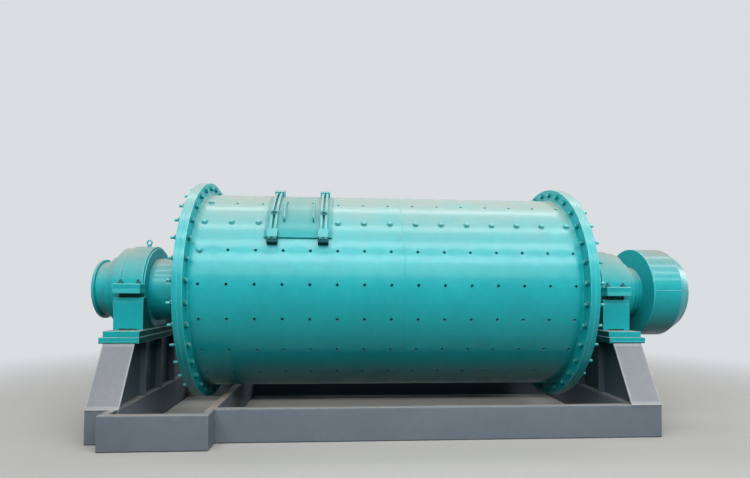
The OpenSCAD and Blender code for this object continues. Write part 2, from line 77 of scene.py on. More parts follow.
# Lamps for the two ends of the mill: place, aim, width, radiance
FEED_WINDOW = ((12.0, 3.2, 3.4), (3.2, -0.2, 1.5), 2.4, 4.0)
DISCHARGE_WINDOW = ((-12.5, 1.5, 4.0), (-3.2, 0.0, 1.4), 3.0, 8.0)

# World and floor
WORLD_FILL = 0.10
WORLD_TINT = (226, 234, 240)
BACKDROP = (218, 222, 225)
FLOOR_SEEN = (154, 153, 150)
FLOOR_LIGHTING = (60, 58, 56)
FLOOR_NEAR = 3.6
FLOOR_FAR = 9.5
FLOOR_HALF = 60

# Drum shell and its liner-bolt grid
SHELL_R = 1.075
SHELL_WALL = 0.025
SHELL_LEFT = MIDDLE_X - 1.923
SHELL_RIGHT = MIDDLE_X + 2.043
COLUMNS = 15
COLUMN_PITCH = 0.263
FIRST_COLUMN = MIDDLE_X - 1.772
ROWS = 20
FIRST_ROW = math.radians(2.7)
ROW_STEP = 2 * math.pi / ROWS
HOLE_R = 0.014
SIDE_PARTS = 6
HOLE_RINGS = (0.0, 0.12, 0.4, 0.7, 1.0)
NUT_ROW = 2
GRID_SLACK = 1e-4

# Manhole and its cover
MANHOLE_COLUMNS = (3, 4)
MANHOLE_ROWS = (2, 3)
MANHOLE_X = MIDDLE_X - 0.846
OPENING_L = 0.592
OPENING_LOW = math.radians(30)
OPENING_HIGH = math.radians(66)
COVER_L = 0.662
COVER_LOW = math.radians(28)
COVER_HIGH = math.radians(68)
COVER_GAP = 0.0003
COVER_T = 0.018
COVER_BEVEL = 0.003
CLAMP_REACH = 0.247
CLAMP_TOP_R = 1.1356
CLAMP_NUT_ANGLE = math.radians(43)
CLAMP_FOOT_NUT_ANGLE = math.radians(26)
CLAMP_FOOT_NUT_OUT = 0.026
CLAMP_FOOT_Z = 1.972

# Bolted end joints
JOINT_BOLTS = 34
JOINT_BOLT_RING = 1.145
JOINT_BOLT_START = math.radians(4.2)
JOINT_BOLT_R = 0.015
JOINT_BOLT_END = 0.066
JOINT_BOLT_PITCH = 0.005
JOINT_PACK = 0.096
LEFT_FACE = MIDDLE_X - 1.971
RIGHT_FACE = MIDDLE_X + 2.091

# Bearings, stands and base
BEARING_X = 2.616
CAP_BOLT_X = 0.088
CAP_BOLT_Y = 0.535
CAP_BOLT_R = 0.012
CAP_BOLT_TOP_R = 0.0118
CAP_BOLT_PITCH = 0.004
CAP_BOLT_FROM = 0.024
CAP_BOLT_TO = 0.044
COVER_JOINTS = (2.731, 2.835)
STEP_TOP = 1.353
LUG_BOTTOM = 1.395
LUG_TOP = 1.496
FEEDER_R = 0.517
FEEDER_FROM = MIDDLE_X + 3.093
FEEDER_TO = MIDDLE_X + 3.405
LEG_HALF_WIDTH = 0.154
LEG_LOW = 0.322
LEG_HIGH = 0.898
LEG_FOOT_Y = 1.100
LEG_HEAD_Y = 0.765
BEAM_HEIGHT = 0.322
FLANGE_T = 0.016

# Nuts on their washers, with the bolt's end in them
JOINT_NUT = dict(corner_r=0.028, height=0.030, stud_r=0.0155, stud_end=0.004, washer_r=0.030, washer_t=0.004)
INNER_JOINT_NUT = dict(JOINT_NUT, stud_end=0.006)
LINER_NUT = dict(corner_r=0.027, height=0.0265, stud_r=0.0135, stud_end=0.004, washer_r=0.034,
                 washer_t=0.0065)
CLAMP_NUT = dict(corner_r=0.021, height=0.030, stud_r=0.011, stud_end=0.004, washer_r=0.034, washer_t=0.008)
CLAMP_FOOT_NUT = dict(corner_r=0.017, height=0.020, stud_r=0.009, stud_end=0.003, washer_r=0.019,
                      washer_t=0.003)
CAP_NUT = dict(corner_r=0.027, height=0.026, stud_r=0.012, stud_end=0.001, washer_r=0.027, washer_t=0.004)
NUT_TURN = math.pi / 3
STUD_ROOT = 0.001
LINER_NUT_SINK = 0.0005
FOOT_NUT_SINK = 0.001
NUT_CHAMFER = 0.97
STUD_CHAMFER = 0.0015

# Round forms of the bolts are drawn with this many sides
FACETS = 24
PHIS = [2 * math.pi * i / FACETS for i in range(FACETS)]

# Welds: seam of the shell's plates, seam of the feeder drum, feet of the legs
SEAM_X = MIDDLE_X + 0.200
SEAM_STEPS = 480
SEAM_HALF = 0.007
SEAM_HEIGHT = 0.0024
SEAM_ROOT = -0.001
SEAM_RIPPLE = 0.15
SEAM_RIPPLE_TURN = 2.1
SEAM_SCATTER = 0.08
FEEDER_SEAM_ANGLE = math.radians(2)
FEEDER_SEAM = 0.004
FEEDER_SEAM_ROOT = 0.001
FEEDER_SEAM_SPREAD = 0.8
FEEDER_SEAM_LEAN = -0.3
LEG_WELD = 0.009
LEG_WELD_ROOT = 0.0005
BEAD_STEP = 0.008
BEAD_RIPPLE = 0.12
BEAD_RIPPLE_TURN = 2.4
BEAD_SCATTER = 0.06

# Edges: least angle that is rounded, and least angles that stay creased, in degrees
ROUNDED_ANGLE = 35
FLAT_ANGLE = 0.5
FORM_CREASE = 50
NUT_CREASE = 25
WELD_CREASE = 60
MERGE = 1e-5
FACING = 0.95
SEED = 41

# Colours, from 0 to 255
TEAL = (14, 151, 157)
# Darker teal of the bolts' nuts: painted shade
TEAL_NUT_SHADE = (14, 108, 112)
# Dark teal: painted shade, at the seal covers' joints and under the clamps' feet
TEAL_PAINTED_SHADE = (8, 66, 70)
TEAL_PLATE = (14, 130, 133)
# Darker teal for the bearings' faces towards the drum: painted shade
TEAL_DRUM_SIDE_SHADE = (13, 80, 79)
# Lighter teal: worn paint on edges, and painted highlight on the caps' lips
TEAL_WEAR_AND_HIGHLIGHT = (64, 178, 180)
TEAL_DUST = (138, 131, 119)
FEEDER_DUST = (118, 115, 104)
LEG_GREY = (118, 123, 128)
# Lighter grey: painted highlight and worn paint along the legs' edges
LEG_LIGHT = (150, 154, 158)
LEG_DUST = (128, 126, 122)
DARK_GREY = (78, 90, 99)
WEB_LIGHT = (84, 96, 105)
BASE_GREY = (105, 115, 125)
# Lighter grey: worn edges, and painted highlight along the beams' flange edges
BASE_LIGHT = (124, 133, 141)
BASE_DUST = (122, 120, 115)
TAN_DUST = (140, 126, 110)
# Colour of grime smears, also used for the painted contact shade at the feet of beams and soles
GRIME_AND_SHADE = (38, 42, 42)
BOLT_STEEL = (58, 58, 56)
RUST = (92, 62, 44)
WORN_STEP = 40

# Dust on cast pieces: upward normal at which it starts, the one at which it is full, its share there
CAST_DUST = (0.2, 0.95, 0.85)

# Bands of another tone, each with the places where it starts and ends
CAP_LIP = (0.046, 0.052)
SOLE_EDGE = (0.024, 0.030)
COVER_JOINT = (0.004, 0.009)
LEG_SIDE_BAND = (0.016, 0.010)
LEG_END_BAND = (0.034, 0.022)
BEAM_BAND_SOFT = 0.003
# Band of painted contact shade along a joint: where it is full, where it has faded out
CONTACT_SHADE_BAND = (0.009, 0.014)

# Grain of the paint: how often each kind of change comes in a metre
BROAD_TONE = 0.9
FINE_TONE = 14
WEAR = 22
DUST_PATCHES = 3.1
SMEARS = 2.2
SPOTS = 75
GLOSS_PATCHES = 5
WAVES = 1.3
ORANGE_PEEL = 170
PEEL_DEPTH = 0.0003
SPECULAR = 0.22
COAT_ROUGHNESS = 0.15
ROUGH_SPREAD = 0.06
DIRT_ROUGHER = 0.12

# Sockets of Blender's Mix node for colours
COLOUR_A = 6
COLOUR_B = 7
COLOUR_RESULT = 2


def linear(rgb):
    """Linear colour of an sRGB colour written from 0 to 255."""
    parts = [v / 255 for v in rgb]
    return [p / 12.92 if p <= 0.04045 else ((p + 0.055) / 1.055) ** 2.4 for p in parts] + [1.0]


class Shader:
    """A node material with a Principled shader and short calls for its nodes."""

    def __init__(self, name):
        self.material = bpy.data.materials.new(name)
        self.material.use_nodes = True
        self.tree = self.material.node_tree
        self.tree.nodes.clear()
        self.bsdf = self.tree.nodes.new("ShaderNodeBsdfPrincipled")
        out = self.tree.nodes.new("ShaderNodeOutputMaterial")
        self.tree.links.new(self.bsdf.outputs["BSDF"], out.inputs["Surface"])
        self.coords = self.tree.nodes.new("ShaderNodeTexCoord")

    def put(self, socket, value):
        """Links a socket to another, or sets its value."""
        if isinstance(value, bpy.types.NodeSocket):
            self.tree.links.new(value, socket)
        else:
            socket.default_value = value

    def noise(self, scale, detail=3.0, rough=0.55, stretch=(1, 1, 1)):
        """Noise in object space."""
        mapping = self.tree.nodes.new("ShaderNodeMapping")
        mapping.inputs["Scale"].default_value = stretch
        self.put(mapping.inputs["Vector"], self.coords.outputs["Object"])
        node = self.tree.nodes.new("ShaderNodeTexNoise")
        self.put(node.inputs["Vector"], mapping.outputs["Vector"])
        self.put(node.inputs["Scale"], scale)
        self.put(node.inputs["Detail"], detail)
        self.put(node.inputs["Roughness"], rough)
        return node.outputs["Fac"]

    def span(self, value, low, high, to_low, to_high, kind="SMOOTHSTEP"):
        """A value carried from one range to another, and held at its ends."""
        node = self.tree.nodes.new("ShaderNodeMapRange")
        node.interpolation_type = kind
        for key, v in zip(("Value", "From Min", "From Max", "To Min", "To Max"),
                          (value, low, high, to_low, to_high)):
            self.put(node.inputs[key], v)
        return node.outputs["Result"]

    def math(self, kind, a, b=0.0):
        """One step of arithmetic."""
        node = self.tree.nodes.new("ShaderNodeMath")
        node.operation = kind
        self.put(node.inputs[0], a)
        self.put(node.inputs[1], b)
        return node.outputs["Value"]

    def apart(self, a, b):
        """The distance between two values."""
        return self.math("ABSOLUTE", self.math("SUBTRACT", a, b))

    def mix(self, factor, a, b, kind="MIX"):
        """Two colours mixed."""
        node = self.tree.nodes.new("ShaderNodeMix")
        node.data_type = "RGBA"
        node.blend_type = kind
        self.put(node.inputs["Factor"], factor)
        self.put(node.inputs[COLOUR_A], a)
        self.put(node.inputs[COLOUR_B], b)
        return node.outputs[COLOUR_RESULT]

    def axis(self, output, letter):
        """One coordinate of a point or of its normal."""
        node = self.tree.nodes.new("ShaderNodeSeparateXYZ")
        self.put(node.inputs["Vector"], self.coords.outputs[output])
        return node.outputs[letter]

    def bump(self, height, distance, before=None):
        """A normal that follows a height, on top of another normal."""
        node = self.tree.nodes.new("ShaderNodeBump")
        self.put(node.inputs["Height"], height)
        self.put(node.inputs["Distance"], distance)
        self.put(node.inputs["Strength"], 1.0)
        if before is not None:
            self.put(node.inputs["Normal"], before)
        return node.outputs["Normal"]


def enamel_tone(s, rgb, rolled):
    """The enamel's colour with its broad and fine tone changes, and with rings where a plate is rolled."""
    broad = s.span(s.noise(BROAD_TONE, 3), 0.3, 0.7, 0.95, 1.05)
    fine = s.span(s.noise(FINE_TONE, 6, 0.65), 0.3, 0.7, 0.96, 1.04)
    tint = s.math("MULTIPLY", broad, fine)
    if rolled > 0:
        rings = s.span(s.noise(1.0, 3, 0.6, (5, 0.7, 0.7)), 0.3, 0.7, 1 - rolled, 1 + rolled)
        tint = s.math("MULTIPLY", tint, rings)
    return s.mix(1.0, linear(rgb), tint, "MULTIPLY")


def dust_share(s, dust):
    """How much dust lies on a face, by its normal: where it starts, where it is full, its share there."""
    up = s.span(s.axis("Normal", "Z"), dust[0], dust[1], 0.0, dust[2], "LINEAR")
    patches = s.span(s.noise(DUST_PATCHES, 8, 0.62), 0.3, 0.62, 0.72, 1.0)
    return s.math("MULTIPLY", up, patches)


def dirt_and_shade_share(s, grime, foot):
    """How much dirt lies in smears and spots, with painted contact shade in a band at the height foot."""
    smears = s.span(s.noise(SMEARS, 8, 0.7), 0.58, 0.74, 0.0, grime)
    spots = s.span(s.noise(SPOTS, 3, 0.5), 0.68, 0.76, 0.0, grime * 2)
    dirt_and_shade = s.math("MAXIMUM", smears, spots)
    # painted contact shade: a dark band along the joint at the height foot
    if foot is not None:
        away = s.apart(s.axis("Object", "Z"), foot)
        dirt_and_shade = s.math("MAXIMUM", dirt_and_shade, s.span(away, *CONTACT_SHADE_BAND, 0.85, 0.0))
    return dirt_and_shade


def paint(name, rgb, dust_rgb, dust=(0.3, 1.0, 0.9), grime=0.15, rough=0.4, coat=0.3, wave=0.001, lines=None,
          rolled=0.0, foot=None):
    """Sprayed enamel: tone changes, worn specks, dust where a face turns up, grime, orange peel.

    dust is the upward normal at which the dust starts, the one at which it is full, and its share there.
    lines adds a tone by place: it takes the shader and gives its share and its colour.
    rolled is the tone change from ring to ring round a rolled plate.
    foot is the height of a joint along which a band of painted contact shade is drawn.
    """
    s = Shader(name)
    colour = enamel_tone(s, rgb, rolled)
    if lines is not None:
        share, line_rgb = lines(s)
        colour = s.mix(share, colour, linear(line_rgb))
    worn = s.span(s.noise(WEAR, 8, 0.7), 0.62, 0.7, 0.0, 0.25)
    colour = s.mix(worn, colour, linear([min(255, v + WORN_STEP) for v in rgb]))
    dusty = dust_share(s, dust)
    colour = s.mix(dusty, colour, linear(dust_rgb))
    # dirt smears and spots, and painted contact shade at the foot
    dirt_and_shade = dirt_and_shade_share(s, grime, foot)
    s.put(s.bsdf.inputs["Base Color"], s.mix(dirt_and_shade, colour, linear(GRIME_AND_SHADE)))
    gloss = s.span(s.noise(GLOSS_PATCHES, 6), 0.3, 0.7, rough - ROUGH_SPREAD, rough + ROUGH_SPREAD)
    rougher = s.math("MULTIPLY", s.math("MAXIMUM", dusty, dirt_and_shade), DIRT_ROUGHER)
    s.put(s.bsdf.inputs["Roughness"], s.math("ADD", gloss, rougher))
    s.put(s.bsdf.inputs["Specular IOR Level"], SPECULAR)
    s.put(s.bsdf.inputs["Coat Weight"], coat)
    s.put(s.bsdf.inputs["Coat Roughness"], COAT_ROUGHNESS)
    waves = s.bump(s.noise(WAVES, 2), wave)
    s.put(s.bsdf.inputs["Normal"], s.bump(s.noise(ORANGE_PEEL, 2), PEEL_DEPTH, waves))
    return s.material


def steel(name, rgb, rough=0.45):
    """Oily bare steel with a little rust."""
    s = Shader(name)
    rust = s.span(s.noise(40, 6, 0.65), 0.5, 0.7, 0.0, 0.8)
    s.put(s.bsdf.inputs["Base Color"], s.mix(rust, linear(rgb), linear(RUST)))
    s.put(s.bsdf.inputs["Metallic"], 0.5)
    s.put(s.bsdf.inputs["Roughness"], s.span(s.noise(60, 4), 0.3, 0.7, rough, rough + 0.25))
    s.put(s.bsdf.inputs["Normal"], s.bump(s.noise(300, 3), 0.0003))
    return s.material


def from_base_middle(s):
    """Distance along X from the base's middle."""
    return s.apart(s.axis("Object", "X"), MIDDLE_X)


def cap_lines(s):
    """A lighter band along the foot of a bearing cap's lugs: painted highlight of a lip that catches the
    light.
    """
    lip = s.span(s.axis("Object", "Z"), LUG_BOTTOM + CAP_LIP[0], LUG_BOTTOM + CAP_LIP[1], 0.6, 0.0)
    return lip, TEAL_WEAR_AND_HIGHLIGHT


def cover_lines(s):
    """A dark line at the joint between a seal cover and the face that it is bolted to: painted shade of the
    groove there.
    """
    share = None
    for at in COVER_JOINTS:
        band = s.span(s.apart(from_base_middle(s), at), *COVER_JOINT, 0.85, 0.0)
        share = band if share is None else s.math("MAXIMUM", share, band)
    return share, TEAL_PAINTED_SHADE


def leg_lines(s):
    """Lighter bands along a leg's side edges, its head and its foot: painted highlights where the edges
    catch the light, with some worn paint.
    """
    from_middle = s.apart(from_base_middle(s), BEARING_X)
    side_band = [LEG_HALF_WIDTH - v for v in LEG_SIDE_BAND]
    side = s.span(from_middle, *side_band, 0.0, 0.8)
    half = (LEG_HIGH - LEG_LOW) / 2
    from_half = s.apart(s.axis("Object", "Z"), LEG_LOW + half)
    end_band = [half - v for v in LEG_END_BAND]
    end = s.span(from_half, *end_band, 0.0, 0.55)
    patchy = s.span(s.noise(9, 5, 0.6), 0.25, 0.5, 0.55, 1.0)
    return s.math("MULTIPLY", s.math("MAXIMUM", side, end), patchy), LEG_LIGHT


def sole_lines(s):
    """The lighter lower edge of a lower sole."""
    edge = s.span(s.axis("Object", "Z"), LEG_HIGH + SOLE_EDGE[0], LEG_HIGH + SOLE_EDGE[1], 0.5, 0.0)
    return edge, TEAL_WEAR_AND_HIGHLIGHT


def beam_lines(s):
    """Lighter bands at the top and bottom of a beam's outer face: painted highlights where the flanges'
    edges catch the light.
    """
    half = BEAM_HEIGHT / 2
    away = s.apart(s.axis("Object", "Z"), half)
    edge = half - FLANGE_T
    band = s.span(away, edge - BEAM_BAND_SOFT, edge + BEAM_BAND_SOFT, 0.0, 0.6)
    patchy = s.span(s.noise(5, 6, 0.65), 0.3, 0.6, 0.2, 1.0)
    return s.math("MULTIPLY", band, patchy), BASE_LIGHT


PAINTS = {
    "teal_paint": paint("teal_enamel", TEAL, TEAL_DUST, rough=0.38, coat=0.3),
    "leg_paint": paint("leg_enamel", LEG_GREY, LEG_DUST, (0.6, 1.0, 0.8),
                       grime=0.1, rough=0.5, coat=0.1, lines=leg_lines),
    "dark_grey_paint": paint("web_enamel", DARK_GREY, BASE_DUST, (0.3, 1.0, 0.8),
                             grime=0.3, rough=0.5, coat=0.1),
    # Beams: painted contact shade along their feet
    "base_paint": paint("base_enamel", BASE_GREY, BASE_DUST, (0.4, 0.95, 0.95),
                        grime=0.12, rough=0.48, coat=0.1, lines=beam_lines, foot=0.0),
}
# Lighter copies of the paints for rounded edges: worn paint, and painted highlight where the edges catch the
# light
EDGES = {
    "teal_paint": paint("teal_edge", TEAL_WEAR_AND_HIGHLIGHT, TEAL_DUST, rough=0.34, coat=0.35),
    "leg_paint": paint("leg_edge", LEG_LIGHT, LEG_DUST, (0.6, 1.0, 0.8), grime=0.1, rough=0.45, coat=0.1),
    "dark_grey_paint": paint("web_edge", WEB_LIGHT, BASE_DUST, (0.3, 1.0, 0.8),
                             grime=0.2, rough=0.45, coat=0.1),
    "base_paint": paint("base_edge", BASE_LIGHT, BASE_DUST, (0.4, 0.95, 0.9),
                        grime=0.1, rough=0.45, coat=0.1),
}
SHELL_PAINT = paint("shell_enamel", TEAL, TEAL_DUST, rough=0.34, coat=0.35, wave=0.006, rolled=0.02)
CAP_PAINT = paint("cap_enamel", TEAL, TEAL_DUST, CAST_DUST,
                  grime=0.2, rough=0.55, coat=0.06, lines=cap_lines)
HOUSING_PAINT = paint("housing_enamel", TEAL, TEAL_DUST, CAST_DUST, grime=0.2, rough=0.6, coat=0.0)
# Lower soles: painted contact shade along their joint with the legs
SOLE_PAINT = paint("sole_enamel", TEAL, TEAL_DUST, CAST_DUST,
                   grime=0.2, rough=0.6, coat=0.0, lines=sole_lines, foot=LEG_HIGH)
COVER_PAINT = paint("cover_enamel", TEAL, TEAL_DUST, CAST_DUST,
                    grime=0.2, rough=0.5, coat=0.1, lines=cover_lines)
PLATE_PAINT = paint("plate_enamel", TEAL_PLATE, TEAL_DUST, (0.5, 1.05, 0.9),
                    rough=0.42, coat=0.15, wave=0.002)
FEEDER_PAINT = paint("feeder_enamel", TEAL, FEEDER_DUST, (0.3, 0.9, 0.9), rough=0.36, coat=0.3)
# Painted shade for the bearings' faces towards the drum, with grime smears on top
DRUM_SIDE_SHADE_PAINT = paint("drum_side_shade_enamel", TEAL_DRUM_SIDE_SHADE, TEAL_DUST, CAST_DUST, grime=0.5, rough=0.7, coat=0.0)
CLAMP_PAINT = paint("clamp_enamel", TEAL, TEAL_DUST, rough=0.42, coat=0.15)
# Painted shade for the shadow under the clamps' feet, with dirt
FOOT_SHADE_AND_DIRT_PAINT = paint("clamp_foot_shade_and_dirt_enamel", TEAL_PAINTED_SHADE, TEAL_DUST, (0.6, 1.0, 0.3),
                   grime=0.5, rough=0.75, coat=0.0)
# Nuts in a darker teal: painted shade for the shade they sit in
NUT_SHADE_PAINT = paint("nut_shade_enamel", TEAL_NUT_SHADE, TEAL_DUST, (0.5, 1.0, 0.5), grime=0.3, rough=0.45, coat=0.1)
# Cross beam: painted contact shade along its foot
CROSS_PAINT = paint("cross_beam_enamel", BASE_GREY, TAN_DUST, (0.4, 0.95, 1.0),
                    grime=0.12, rough=0.5, coat=0.1, lines=beam_lines, foot=0.0)
BOLT_DARK = steel("bolt_steel", BOLT_STEEL)

# Widths of the rounded edges, nodes with new pieces in place of them, and paints of single nodes
BEVELS = {"beam": 0.004, "leg": 0.004, "webs": 0.002, "ribs": 0.002, "sole": 0.004, "housing": 0.008,
          "bearing_cap": 0.008, "seal_covers": 0.005, "flange": 0.004, "head": 0.004, "trunnion": 0.004,
          "sleeve": 0.003, "ring": 0.003, "plate": 0.003, "feeder": 0.004, "clamps": 0.003}
MADE_ANEW = ("drum_shell", "manhole_cover", "left_joint_bolts", "right_joint_bolts", "liner_nuts",
             "clamp_nuts", "left_cap_bolts", "right_cap_bolts")
OWN_PAINT = {"cross_beam": CROSS_PAINT, "manhole_clamps": CLAMP_PAINT,
             "left_bearing_cap": CAP_PAINT, "right_bearing_cap": CAP_PAINT,
             "left_seal_covers": COVER_PAINT, "right_seal_covers": COVER_PAINT,
             "left_lower_housing": HOUSING_PAINT, "right_lower_housing": HOUSING_PAINT,
             "left_lower_sole": SOLE_PAINT, "right_lower_sole": SOLE_PAINT,
             "left_upper_sole": HOUSING_PAINT, "right_upper_sole": HOUSING_PAINT,
             "feeder_drum": FEEDER_PAINT, "feeder_back_plate": HOUSING_PAINT}


def add_piece(name, bm, body, materials, crease=FORM_CREASE):
    """Makes a mesh object that rides on a body and takes a slot's finish."""
    bmesh.ops.recalc_face_normals(bm, faces=bm.faces)
    for e in bm.edges:
        e.smooth = len(e.link_faces) == 2 and e.calc_face_angle() < math.radians(crease)
    for f in bm.faces:
        f.smooth = True
    mesh = bpy.data.meshes.new(name)
    bm.to_mesh(mesh)
    bm.free()
    for m in materials:
        mesh.materials.append(m)
    obj = bpy.data.objects.new(name, mesh)
    bpy.context.scene.collection.objects.link(obj)
    normals = obj.modifiers.new("normals", "WEIGHTED_NORMAL")
    normals.keep_sharp = True
    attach(obj, body)
    return obj


def rounded(node, width, slot, body, segments=2):
    """A CAD node's form with its sharp outer edges rounded, which stands for the node."""
    bm = bmesh.new()
    bm.from_mesh(frame["nodes"][node].data)
    bmesh.ops.remove_doubles(bm, verts=bm.verts, dist=MERGE)
    bmesh.ops.dissolve_limit(bm, angle_limit=math.radians(FLAT_ANGLE), verts=bm.verts, edges=bm.edges)
    bmesh.ops.recalc_face_normals(bm, faces=bm.faces)
    for f in bm.faces:
        f.material_index = 0
    least = math.radians(ROUNDED_ANGLE)
    edges = [e for e in bm.edges if len(e.link_faces) == 2 and e.is_convex and e.calc_face_angle() > least]
    if width > 0:
        bmesh.ops.bevel(bm, geom=edges, offset=width, offset_type="OFFSET", segments=segments, profile=0.5,
                        affect="EDGES", clamp_overlap=True, material=1)
    obj = add_piece(node + "_rounded", bm, body, [PAINTS[slot], EDGES[slot]])
    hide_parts(node)
    return obj


def on_drum(x, r, angle):
    """Point on the drum at an angle above the front."""
    return Vector((x, AXIS_Y - r * math.cos(angle), AXIS_Z + r * math.sin(angle)))


def drum_frame(x, r, angle, turn=0.0):
    """Placement on the drum with Z outwards, turned about Z."""
    out = Vector((0, -math.cos(angle), math.sin(angle)))
    along = Vector((1, 0, 0))
    side = out.cross(along)
    turned = Matrix((along, side, out)).transposed().to_4x4()
    return Matrix.Translation(on_drum(x, r, angle)) @ turned @ Matrix.Rotation(turn, 4, "Z")


def cell_rim(x0, x1, a0, a1):
    """Points round a cell of the grid, SIDE_PARTS on each side."""
    n = SIDE_PARTS
    steps = [i / n for i in range(n)]
    rim = [(x0 + (x1 - x0) * t, a0) for t in steps]
    rim += [(x1, a0 + (a1 - a0) * t) for t in steps]
    rim += [(x1 + (x0 - x1) * t, a1) for t in steps]
    rim += [(x0, a1 + (a0 - a1) * t) for t in steps]
    return rim


def plain_cell(quads, x0, x1, a0, a1):
    """Adds the quads of one cell without a hole."""
    n = SIDE_PARTS
    for i in range(n):
        for j in range(n):
            xs = [x0 + (x1 - x0) * (i + k) / n for k in (0, 1)]
            angles = [a0 + (a1 - a0) * (j + k) / n for k in (0, 1)]
            quads.append([(xs[0], angles[0]), (xs[1], angles[0]), (xs[1], angles[1]), (xs[0], angles[1])])


def drilled_cell(quads, x0, x1, a0, a1, hole):
    """Adds the quads of one cell with a round hole at hole = (x, angle)."""
    hx, ha = hole
    rim = cell_rim(x0, x1, a0, a1)
    rings = []
    for t in HOLE_RINGS:
        ring = []
        for x, a in rim:
            dx = (x - hx) / (x1 - x0)
            da = (a - ha) / (a1 - a0)
            turn = math.atan2(da, dx)
            rx = hx + HOLE_R * math.cos(turn)
            ra = ha + HOLE_R * math.sin(turn) / SHELL_R
            ring.append((rx + (x - rx) * t, ra + (a - ra) * t))
        rings.append(ring)
    count = len(rim)
    for inner, outer in zip(rings, rings[1:]):
        for i in range(count):
            j = (i + 1) % count
            quads.append([inner[i], outer[i], outer[j], inner[j]])


def bent_plate(quads, r_out, thickness, moved=None):
    """A plate on the drum from quads of (x, angle), closed by walls at its rims and holes."""
    bm = bmesh.new()
    made = {}

    def vertex(x, a):
        if moved is not None:
            x, a = moved(x, a)
        key = (round(x, 5), round(a % (2 * math.pi), 5))
        if key not in made:
            made[key] = (bm.verts.new(on_drum(x, r_out, a)), bm.verts.new(on_drum(x, r_out - thickness, a)))
        return made[key]

    edges = {}
    for quad in quads:
        corners = [vertex(x, a) for x, a in quad]
        bm.faces.new([c[0] for c in corners])
        bm.faces.new([c[1] for c in reversed(corners)])
        for p, q in zip(corners, corners[1:] + corners[:1]):
            edges[(id(p), id(q))] = (p, q)
    for (p_id, q_id), (p, q) in edges.items():
        if (q_id, p_id) not in edges:
            bm.faces.new([p[0], p[1], q[1], q[0]])
    return bm


def shell_piece():
    """Drum shell with its liner-bolt holes, and its manhole, whose rim the cells round it are moved to."""
    centres = [FIRST_COLUMN + i * COLUMN_PITCH for i in range(COLUMNS)]
    bounds = [SHELL_LEFT] + [c + COLUMN_PITCH / 2 for c in centres[:-1]] + [SHELL_RIGHT]
    quads = []
    for i, x in enumerate(centres):
        for k in range(ROWS):
            if i in MANHOLE_COLUMNS and k in MANHOLE_ROWS:
                continue
            a = FIRST_ROW + k * ROW_STEP
            drilled_cell(quads, bounds[i], bounds[i + 1], a - ROW_STEP / 2, a + ROW_STEP / 2, (x, a))
    left, right = bounds[MANHOLE_COLUMNS[0]], bounds[MANHOLE_COLUMNS[-1] + 1]
    low = FIRST_ROW + (MANHOLE_ROWS[0] - 0.5) * ROW_STEP
    high = FIRST_ROW + (MANHOLE_ROWS[-1] + 0.5) * ROW_STEP

    def moved(x, a):
        inside_x = left - GRID_SLACK < x < right + GRID_SLACK
        inside_a = low - GRID_SLACK < a < high + GRID_SLACK
        if not (inside_x and inside_a):
            return x, a
        if abs(x - left) < GRID_SLACK:
            x = MANHOLE_X - OPENING_L / 2
        if abs(x - right) < GRID_SLACK:
            x = MANHOLE_X + OPENING_L / 2
        if abs(a - low) < GRID_SLACK:
            a = OPENING_LOW
        if abs(a - high) < GRID_SLACK:
            a = OPENING_HIGH
        return x, a

    bm = bent_plate(quads, SHELL_R, SHELL_WALL, moved)
    obj = add_piece("drum_shell_drilled", bm, "mill", [SHELL_PAINT, EDGES["teal_paint"]])
    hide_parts("drum_shell")


def cover_piece():
    """Manhole cover with the liner-bolt holes of its upper row."""
    quads = []
    split_x = FIRST_COLUMN + (MANHOLE_COLUMNS[0] + 0.5) * COLUMN_PITCH
    split_a = FIRST_ROW + (MANHOLE_ROWS[0] + 0.5) * ROW_STEP
    xs = (MANHOLE_X - COVER_L / 2, split_x, MANHOLE_X + COVER_L / 2)
    for i, column in enumerate(MANHOLE_COLUMNS):
        hole = (FIRST_COLUMN + column * COLUMN_PITCH, FIRST_ROW + MANHOLE_ROWS[1] * ROW_STEP)
        drilled_cell(quads, xs[i], xs[i + 1], split_a, COVER_HIGH, hole)
        plain_cell(quads, xs[i], xs[i + 1], COVER_LOW, split_a)
    bm = bent_plate(quads, SHELL_R + COVER_GAP + COVER_T, COVER_T)
    edges = [e for e in bm.edges if e.calc_face_angle(0) > math.radians(ROUNDED_ANGLE)]
    bmesh.ops.bevel(bm, geom=edges, offset=COVER_BEVEL, segments=2, profile=0.5, affect="EDGES",
                    clamp_overlap=True, material=1)
    obj = add_piece("manhole_cover_drilled", bm, "mill", [PLATE_PAINT, EDGES["teal_paint"]])
    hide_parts("manhole_cover")


def x_frame(x, r, angle, side, turn):
    """Placement on an end joint with Z along the axis, towards the right for side 1 and the left for -1."""
    out = Vector((side, 0, 0))
    up = Vector((0, -math.cos(angle), math.sin(angle)))
    turned = Matrix((up, out.cross(up), out)).transposed().to_4x4()
    return Matrix.Translation(on_drum(x, r, angle)) @ turned @ Matrix.Rotation(turn, 4, "Z")


def round_ring(r, z):
    """A round ring of a turned body, as a radius and a height for each facet."""
    return [(r, z)] * FACETS


def hex_radius(inner, phi):
    """Distance from the middle of a hexagon to its side, in the direction phi."""
    sector = math.pi / 3
    return inner / math.cos((phi + sector / 2) % sector - sector / 2)


def turned_body(bm, place, rings, bare_from):
    """A closed body through rings of (radius, height), whose faces from one ring on take material 1."""
    rows = []
    for ring in rings:
        row = []
        for phi, (r, z) in zip(PHIS, ring):
            row.append(bm.verts.new(place @ Vector((r * math.cos(phi), r * math.sin(phi), z))))
        rows.append(row)
    for k, (lower, upper) in enumerate(zip(rows, rows[1:])):
        for i in range(FACETS):
            j = (i + 1) % FACETS
            face = bm.faces.new([lower[i], lower[j], upper[j], upper[i]])
            face.material_index = 1 if k >= bare_from else 0
    bm.faces.new(list(reversed(rows[0])))
    bm.faces.new(rows[-1]).material_index = 1


